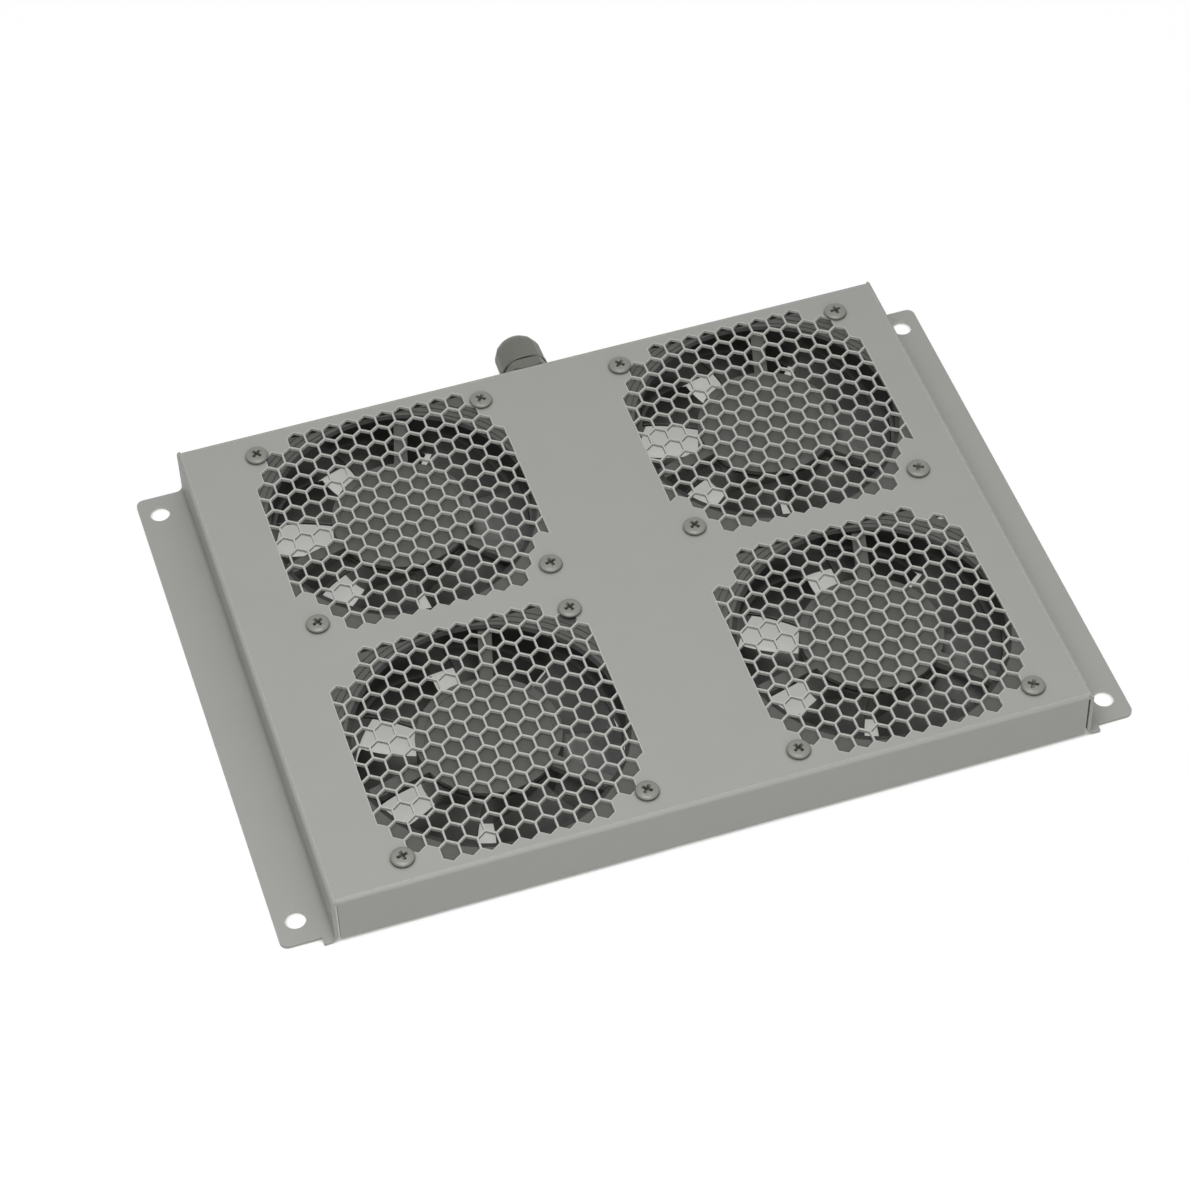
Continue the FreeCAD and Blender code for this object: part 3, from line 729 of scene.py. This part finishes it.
def arc(x, z, r, start, end):
    """Points of a bend about (x, z), between two angles in degrees."""
    angles = [math.radians(start + (end - start) * i / BEND_STEPS) for i in range(BEND_STEPS + 1)]
    return [(x + r * math.cos(a), z + r * math.sin(a)) for a in angles]


def block(low, high):
    """A block between two corners."""
    bm = bmesh.new()
    bmesh.ops.create_cube(bm, size=1.0)
    bmesh.ops.scale(bm, vec=Vector(high) - Vector(low), verts=bm.verts)
    bmesh.ops.translate(bm, vec=(Vector(low) + Vector(high)) / 2, verts=bm.verts)
    return bm


def pushed(points, way):
    """A solid: the outline through the points, pushed along a vector."""
    bm = bmesh.new()
    bm.faces.new([bm.verts.new(point) for point in points])
    return extruded(bm, way)


def rail(side):
    """One side of the folded sheet: top bend, wall, wide lower bend and flange, drawn on the right."""
    low, high = box_mm("side_rail_right")
    _, flat = flat_plate()
    bend = TOP_BEND_IN + SHEET
    foot = LOWER_BEND_IN + SHEET
    outline = arc(flat.x, high.z - bend, bend, 90, 0)
    outline += arc(flat.x + bend + LOWER_BEND_IN, foot, LOWER_BEND_IN, 180, 270)
    outline += [(high.x, SHEET), (high.x, 0.0)]
    outline += arc(flat.x + bend + LOWER_BEND_IN, foot, foot, 270, 180)
    outline += arc(flat.x, high.z - bend, TOP_BEND_IN, 0, 90)
    bm = pushed([(x, low.y, z) for x, z in outline], (0, high.y - low.y, 0))
    start = flat.x + bend + SETBACK_FROM_WALL
    bm = carved(bm, block((start, low.y - 1, -1), (high.x + 1, low.y + FLANGE_SETBACK, SHEET + 1)))
    corners = [e for e in bm.edges if all(v.co.x > high.x - 0.01 for v in e.verts)
               and abs(e.verts[0].co.y - e.verts[1].co.y) < 0.01]
    round_off(bm, corners, FLANGE_CORNER_R, segments=8)
    for y in (FLANGE_HOLE_Y, -FLANGE_HOLE_Y):
        drill = rod(FLANGE_HOLE_R, -1.0, SHEET + 1)
        bmesh.ops.translate(drill, vec=Vector((FLANGE_HOLE_X, y, 0)), verts=drill.verts)
        bm = carved(bm, drill)
    if side == "left":
        bmesh.ops.scale(bm, vec=Vector((-1, 1, 1)), verts=bm.verts)
        bmesh.ops.reverse_faces(bm, faces=bm.faces)
    return bm


def skirt(side):
    """The front or back of the sheet: a bend, and a wall that stops short of the rails, drawn in front."""
    low, high = box_mm("front_skirt")
    _, flat = flat_plate()
    bend = TOP_BEND_IN + SHEET
    top = high.z - bend
    outline = arc(low.y + bend, top, bend, 90, 180)
    outline += [(low.y, low.z), (low.y + SHEET, low.z)]
    outline += arc(low.y + bend, top, TOP_BEND_IN, 180, 90)
    bm = pushed([(-flat.x, y, z) for y, z in outline], (2 * flat.x, 0, 0))
    wall_end = flat.x + TOP_BEND_IN - SKIRT_END_GAP
    for x in (-1, 1):
        ends = sorted((x * wall_end, x * (flat.x + 1)))
        bm = carved(bm, block((ends[0], low.y - 1, low.z - 1), (ends[1], low.y + SHEET + 1, top - 0.4)))
    corners = [e for e in bm.edges
               if all(v.co.z < low.z + 0.01 and abs(v.co.x) > wall_end - 0.01 for v in e.verts)]
    round_off(bm, corners, SKIRT_CORNER_R, segments=8)
    if side == "back":
        _, back = box_mm("back_skirt")
        bmesh.ops.scale(bm, vec=Vector((1, -1, 1)), verts=bm.verts)
        bmesh.ops.translate(bm, vec=Vector((0, low.y + back.y, 0)), verts=bm.verts)
        bmesh.ops.reverse_faces(bm, faces=bm.faces)
        r = THREAD_R + GLAND_HOLE_GAP
        drill = rod(r, -SHEET - 1, 1.0)
        bmesh.ops.transform(drill, matrix=gland_place(), verts=drill.verts)
        bm = carved(bm, drill)
    return bm


def bent_sheet():
    """The rails and skirts, with rounded cut edges but plain ends where the sheet goes on."""
    low, high = flat_plate()

    def seam(edge):
        return all(v.co.z > low.z - 0.3 and min(abs(abs(v.co.x) - high.x), abs(v.co.y - low.y),
                                                abs(v.co.y - high.y)) < 0.05 for v in edge.verts)

    sheets = {"side_rail_left": rail("left"), "side_rail_right": rail("right"),
              "front_skirt": skirt("front"), "back_skirt": skirt("back")}
    for node, bm in sheets.items():
        round_off(bm, sharp_edges(bm, keep=seam), SHEET_EDGE)
        piece(bm, f"{node}_sheet", ROOT, PAINT, [node], smooth=35)


def cross_arm(angle):
    """A wedge for one arm of a Phillips recess, about the head's crown."""
    bm = bmesh.new()
    bmesh.ops.create_cube(bm, size=1.0)
    for vert in bm.verts:
        deep = vert.co.z < 0
        vert.co.x *= CROSS_L * (0.45 if deep else 1.0)
        vert.co.y *= CROSS_W * (0.6 if deep else 1.0)
        vert.co.z = SCREW_HEAD_T - CROSS_DEPTH if deep else SCREW_HEAD_T + 0.4
    bmesh.ops.transform(bm, matrix=turn_z(angle), verts=bm.verts)
    return bm


def screw_mesh():
    """One fan screw about the plate's top: a flat pan head with its cross, and a threaded shank."""
    low, _ = box_mm("fan_screws_back_left")
    _, plate_top = box_mm("top_plate")
    end = low.z - plate_top.z
    head = [(SCREW_HEAD_T - depth, r) for depth, r in SCREW_CROWN]
    head += [(0.35, SCREW_HEAD_R - 0.2), (0.0, SCREW_HEAD_R - 0.5), (0.0, SCREW_THREAD_R)]
    turns = int((-end - 2.0) / SCREW_PITCH)
    thread = []
    for i in range(turns):
        z = -1.5 - i * SCREW_PITCH
        thread += [(z, SCREW_THREAD_R), (z - SCREW_PITCH / 2, SCREW_THREAD_R - SCREW_THREAD_IN)]
    tip = [(end + 0.3, SCREW_THREAD_R - 0.1), (end, SCREW_THREAD_R - 0.5), (end, 0.0)]
    bm = lathe(head + thread + tip, SCREW_STEPS)
    for angle in (0, 90):
        bm = carved(bm, cross_arm(angle))
    mesh = bpy.data.meshes.new("screw")
    bm.to_mesh(mesh)
    bm.free()
    return mesh


def fan_screws():
    """The screws of each fan, with each cross turned its own way."""
    screw = screw_mesh()
    _, plate_top = box_mm("top_plate")
    turns = iter(CROSS_TURNS)
    for fan in FANS:
        bm = bmesh.new()
        for x, y in screw_places(fan):
            one = bmesh.new()
            one.from_mesh(screw)
            join(bm, one, Matrix.Translation((x, y, plate_top.z)) @ turn_z(next(turns)))
        piece(bm, f"phillips_screws_{fan}", ROOT, ZINC, [f"fan_screws_{fan}"], smooth=38)


def ridge_cutter():
    """Half rings that leave ridges on the back corners of a fan frame's face."""
    bm = bmesh.new()
    for r in RIDGE_RADII:
        half = RIDGE_W / 2
        ring = [(FAN_T + 0.5, r - half), (FAN_T + 0.5, r + half), (FAN_T - RIDGE_DEPTH, r + half * 0.5),
                (FAN_T - RIDGE_DEPTH, r - half * 0.5)]
        join(bm, lathe(ring, 96, close=True))
    made = bmesh.ops.bisect_plane(bm, geom=whole(bm), dist=0.001, plane_co=(0, 0, 0), plane_no=(0, 1, 0),
                                  clear_inner=True)
    cut = [e for e in made["geom_cut"] if isinstance(e, bmesh.types.BMEdge)]
    bmesh.ops.holes_fill(bm, edges=cut, sides=0)
    bmesh.ops.recalc_face_normals(bm, faces=bm.faces)
    return bm


def fan_frames():
    """The die-cast frames, with ridges on their corners, a stepped motor base and rounded edges."""
    for fan in FANS:
        node = f"fan_housing_{fan}"
        bm = merged_copy(node)
        round_off(bm, sharp_edges(bm), CAST_EDGE)
        bmesh.ops.translate(bm, vec=-axis_of(fan), verts=bm.verts)
        bm = carved(bm, ridge_cutter())
        step = [(BASE_TOP + 0.5, BASE_STEP_R), (BASE_TOP + 0.5, 0.0), (BASE_TOP - BASE_STEP, 0.0),
                (BASE_TOP - BASE_STEP, BASE_STEP_R - 0.4)]
        bm = carved(bm, lathe(step, 72, close=True))
        bmesh.ops.translate(bm, vec=axis_of(fan), verts=bm.verts)
        piece(bm, f"cast_frame_{fan}", ROOT, CAST, [node], smooth=32)


def blade():
    """One blade: a grid bent to its pitch, camber and sweep, given its thickness and rounded edges."""
    bm = bmesh.new()
    bmesh.ops.create_grid(bm, x_segments=BLADE_SPAN_CUTS, y_segments=BLADE_CHORD_CUTS, size=0.5)
    root_r = HUB_R - BLADE_SINK
    height = BLADE_HIGH - BLADE_LOW
    for vert in bm.verts:
        span = vert.co.x + 0.5
        chord = vert.co.y + 0.5
        r = root_r + span * (BLADE_TIP_R - root_r)
        pitch = math.radians(BLADE_ROOT_PITCH + span * (BLADE_TIP_PITCH - BLADE_ROOT_PITCH))
        angle = (chord - 0.5) * height / math.tan(pitch) / r
        z = BLADE_LOW + chord * height + BLADE_CAMBER * math.sin(math.pi * chord)
        vert.co = (r * math.cos(angle), r * math.sin(angle), z)
    bmesh.ops.recalc_face_normals(bm, faces=bm.faces)
    bmesh.ops.solidify(bm, geom=list(bm.faces), thickness=BLADE_T)
    bmesh.ops.recalc_face_normals(bm, faces=bm.faces)
    round_off(bm, sharp_edges(bm, 60), BLADE_EDGE, segments=3)
    return bm


def impellers():
    """The hub cups with their blades, each turned to its place at rest."""
    for fan in FANS:
        inner = HUB_R - HUB_WALL
        floor_z = HUB_Z0 + HUB_WALL
        dish_z = HUB_Z0 + HUB_DISH
        dish = [(dish_z, 0.0), (dish_z, HUB_DISH_R - 0.4), (HUB_Z0, HUB_DISH_R)]
        corner = [(HUB_Z0 + HUB_EDGE * (1 - math.cos(a)), HUB_R - HUB_EDGE * (1 - math.sin(a)))
                  for a in [math.pi / 2 * i / 6 for i in range(7)]]
        cup = [(HUB_Z1, HUB_R), (HUB_Z1, inner), (floor_z, inner), (floor_z, 0.0)]
        bm = lathe(dish + corner + cup, HUB_STEPS)
        for i in range(BLADES):
            join(bm, blade(), turn_z(FAN_TURNS[fan] + i * 360 / BLADES))
        bmesh.ops.translate(bm, vec=axis_of(fan), verts=bm.verts)
        piece(bm, f"bladed_hub_{fan}", f"impeller_{fan}", BLADES_BLACK, [f"impeller_{fan}"],
              smooth=40)


def gland_place():
    """The gland's own frame: its axis along +Y from the tray's back face."""
    low, high = box_mm("gland_dome_nut")
    _, back = box_mm("back_skirt")
    return Matrix.Translation(((low.x + high.x) / 2, back.y, (low.z + high.z) / 2)) @ Matrix.Rotation(
        -math.pi / 2, 4, "X")


def ridged(start, end, r):
    """Lathe points of a thread, as rings."""
    points = []
    count = int((end - start) / THREAD_PITCH)
    for i in range(count):
        z = start + i * THREAD_PITCH
        points += [(z, r - THREAD_IN), (z + THREAD_PITCH / 2, r)]
    return points + [(end, r - THREAD_IN)]


def hexagon(flats, z0, z1, bore):
    """A nut: a hexagon with a bore, its corners turned off at both ends."""
    bm = bmesh.new()
    ring = bmesh.ops.create_circle(bm, cap_ends=True, segments=6, radius=flats / math.sqrt(3))["verts"]
    bmesh.ops.transform(bm, matrix=Matrix.Translation((0, 0, z0)) @ turn_z(30), verts=ring)
    extruded(bm, (0, 0, z1 - z0))
    round_off(bm, sharp_edges(bm), NUT_EDGE)
    corner = flats / math.sqrt(3) + 1.0
    slope = (corner - flats / 2) * math.tan(math.radians(30))
    low_ring = [(z0 - 1.0, corner), (z0 + slope, corner), (z0, flats / 2), (z0 - 1.0, flats / 2)]
    high_ring = [(z0 + z1 - z, r) for z, r in low_ring]
    bm = carved(bm, lathe(low_ring, HOLE_STEPS, close=True))
    bm = carved(bm, lathe(high_ring, HOLE_STEPS, close=True))
    return carved(bm, rod(bore, z0 - 1.0, z1 + 1.0))


def gland():
    """The cable gland: threaded body with its collar, washer, lock nut, dome nut and rubber insert."""
    at = gland_place()
    bore = GLAND_BORE_R

    def fitted(bm, name, material, node, smooth=30):
        bmesh.ops.transform(bm, matrix=at, verts=bm.verts)
        piece(bm, name, ROOT, material, [node], smooth=smooth)

    body = hexagon(COLLAR_AF, WASHER_T, COLLAR_END, bore)
    thread = [(THREAD_END, bore)] + ridged(THREAD_END, WASHER_T, THREAD_R) + [(WASHER_T, bore)]
    stub = [(COLLAR_END, bore), (COLLAR_END, STUB_R), (STUB_END - STUB_EDGE, STUB_R),
            (STUB_END, STUB_R - STUB_EDGE), (STUB_END, bore)]
    for profile in (thread, stub):
        join(body, lathe(profile, THREAD_STEPS, close=True))
    fitted(body, "gland_collar_and_thread", NYLON, "gland_body")

    dome = lathe(DOME_PROFILE, 6 * DOME_FLATS, close=True)
    half_flat = math.pi / DOME_FLATS
    for vert in dome.verts:
        outside = math.hypot(vert.co.x, vert.co.y) > DOME_INSIDE_R
        if outside and DOME_FLATS_Z[0] < vert.co.z < DOME_FLATS_Z[1]:
            off_middle = math.atan2(vert.co.y, vert.co.x) % (2 * half_flat) - half_flat
            inward = math.cos(half_flat) / math.cos(off_middle)
            vert.co.x *= inward
            vert.co.y *= inward
    fitted(dome, "gland_cap_nut", NYLON, "gland_dome_nut", smooth=22)

    locknut = hexagon(COLLAR_AF, LOCKNUT_Z[0], LOCKNUT_Z[1], THREAD_R)
    fitted(locknut, "gland_lock_nut", NYLON, "gland_locknut")
    washer = lathe(WASHER_PROFILE, THREAD_STEPS, close=True)
    fitted(washer, "gland_sealing_washer", RUBBER, "gland_washer")
    insert = lathe(INSERT_PROFILE, HOLE_STEPS, close=True)
    fitted(insert, "gland_insert", RUBBER, "gland_seal")


def small_fan_parts():
    """Terminals and nuts with rounded edges, and the finishes of what the motor hides."""
    for fan in FANS:
        for node, name, material, slot, width in (
                (f"terminal_holder_{fan}", f"terminal_block_{fan}", BLACK, "fan_plastic", 0.5),
                (f"terminal_tabs_{fan}", f"spade_tabs_{fan}", TINNED, "tinned_brass", 0.15),
                (f"fan_nuts_{fan}", f"hexagon_nuts_{fan}", ZINC, "zinc_steel", 0.25)):
            bm = merged_copy(node)
            round_off(bm, sharp_edges(bm), width)
            piece(bm, name, ROOT, material, [node], smooth=30)
        for part, material in (("sleeve_bearing", BRONZE), ("stator_core", CORE), ("stator_coils", COPPER),
                               ("magnet_ring", FERRITE), ("shaft", GROUND)):
            node = frame["nodes"][f"{part}_{fan}"]
            node.data.materials.clear()
            node.data.materials.append(material)


def shown(w):
    """1 for the rays that show a surface: seen, reflected or refracted."""
    path = w.add("ShaderNodeLightPath").outputs
    seen = w.math("MAXIMUM", path["Is Camera Ray"], path["Is Glossy Ray"])
    return w.math("MAXIMUM", seen, path["Is Transmission Ray"])


def floor():
    """The floor just under the tray: white to the camera, with a faint shadow and a soft light upwards onto
    the tray's underside, and clear from below."""
    mesh = bpy.data.meshes.new("floor")
    bm = bmesh.new()
    bmesh.ops.create_grid(bm, x_segments=1, y_segments=1, size=FLOOR_SIZE / 2)
    bmesh.ops.translate(bm, vec=Vector((0, 0, -FLOOR_DROP)), verts=bm.verts)
    bm.to_mesh(mesh)
    bm.free()
    obj = bpy.data.objects.new("floor", mesh)
    bpy.context.scene.collection.objects.link(obj)
    material = bpy.data.materials.new("white_floor")
    material.use_nodes = True
    w = Wiring(material.node_tree)
    w.tree.nodes.clear()
    seen = shown(w)
    place = w.add("ShaderNodeSeparateXYZ", {0: w.add("ShaderNodeTexCoord").outputs["Object"]}).outputs
    sides = [w.math("LESS_THAN", w.math("ABSOLUTE", place[axis]), half * MM)
             for axis, half in zip("XY", UNDER_HALF)]
    below = w.math("MULTIPLY", w.math("MULTIPLY", sides[0], sides[1]), UNDER_GLOW)
    lift = w.add("ShaderNodeEmission", {"Color": (1.0, 1.0, 1.0, 1.0), "Strength": below})
    matt = w.add("ShaderNodeBsdfDiffuse", {"Color": (0.75, 0.75, 0.75, 1.0)})
    plain = w.add("ShaderNodeAddShader", {0: matt.outputs[0], 1: lift.outputs[0]})
    open_above = w.add("ShaderNodeAmbientOcclusion", {"Distance": SHADOW_REACH}, samples=8).outputs["AO"]
    lit = w.remap(open_above, *SHADOW_RANGE, 0.0, 1.0)
    tone = w.mix(lit, srgb(167, 168, 163), (1.08, 1.08, 1.08, 1.0))
    glow = w.add("ShaderNodeEmission", {"Color": tone, "Strength": 1.0})
    white = w.add("ShaderNodeMixShader", {0: w.math("MULTIPLY", seen, FLOOR_GLOW), 1: plain.outputs[0],
                                          2: glow.outputs[0]})
    clear = w.add("ShaderNodeBsdfTransparent")
    under = w.add("ShaderNodeNewGeometry").outputs["Backfacing"]
    both = w.add("ShaderNodeMixShader", {0: under, 1: white.outputs[0], 2: clear.outputs[0]})
    w.add("ShaderNodeOutputMaterial", {"Surface": both.outputs[0]})
    mesh.materials.append(material)


def world():
    """White to the camera and in reflections, and a pale light for the rest, dimmer from the left."""
    made = bpy.data.worlds.new("studio")
    bpy.context.scene.world = made
    made.use_nodes = True
    w = Wiring(made.node_tree)
    w.tree.nodes.clear()
    seen = shown(w)
    way = w.add("ShaderNodeSeparateXYZ", {0: w.add("ShaderNodeTexCoord").outputs["Generated"]}).outputs
    sky = w.remap(way["Z"], 0.0, 1.0, HORIZON, ZENITH)
    soft = w.math("MULTIPLY", sky, w.remap(way["X"], -0.9, 0.1, LEFT_SKY, 1.0))
    strength = w.remap(seen, 0.0, 1.0, soft, 1.0)
    light = w.add("ShaderNodeBackground", {"Color": (1.0, 1.0, 1.0, 1.0), "Strength": strength})
    w.add("ShaderNodeOutputWorld", {"Surface": light.outputs[0]})


def softbox(name, place, aim, size, watts):
    """A square area lamp that points at a place on the tray."""
    data = bpy.data.lights.new(name, "AREA")
    data.shape = "SQUARE"
    data.size = size
    data.energy = watts
    obj = bpy.data.objects.new(name, data)
    bpy.context.scene.collection.objects.link(obj)
    obj.location = place
    obj.rotation_mode = "QUATERNION"
    obj.rotation_quaternion = (Vector(aim) - Vector(place)).to_track_quat("-Z", "Y")


def lights():
    """A softbox overhead, towards the front, and a weaker one in front."""
    softbox("overhead", (-0.21, -0.34, 1.15), (-0.04, -0.08, 0.0), 0.55, 7.05)
    softbox("front_fill", (0.0, -1.9, 0.9), (0.0, 0.0, 0.0), 1.2, 6.2)


def camera():
    """The camera at the photograph's place, with its lens worked out for a square frame."""
    data = bpy.data.cameras.new("camera")
    data.sensor_width = SENSOR
    data.lens = FOCAL_PX / PHOTO_SIZE * SENSOR
    data.clip_end = 100.0
    obj = bpy.data.objects.new("camera", data)
    bpy.context.scene.collection.objects.link(obj)
    obj.location = Vector(CAMERA_AT) * MM
    ahead = (Vector(CAMERA_TO) - Vector(CAMERA_AT)).normalized()
    level_right = ahead.cross(Vector((0, 0, 1))).normalized()
    level_up = level_right.cross(ahead)
    roll = math.radians(CAMERA_ROLL)
    right = level_right * math.cos(roll) + level_up * math.sin(roll)
    up = right.cross(ahead)
    turn = Matrix((right, up, -ahead)).transposed()
    obj.rotation_mode = "QUATERNION"
    obj.rotation_quaternion = turn.to_quaternion()
    bpy.context.scene.camera = obj


bpy.context.scene.view_settings.view_transform = "Standard"
camera()
world()
lights()
floor()
grille_plate()
bent_sheet()
fan_screws()
fan_frames()
impellers()
gland()
small_fan_parts()
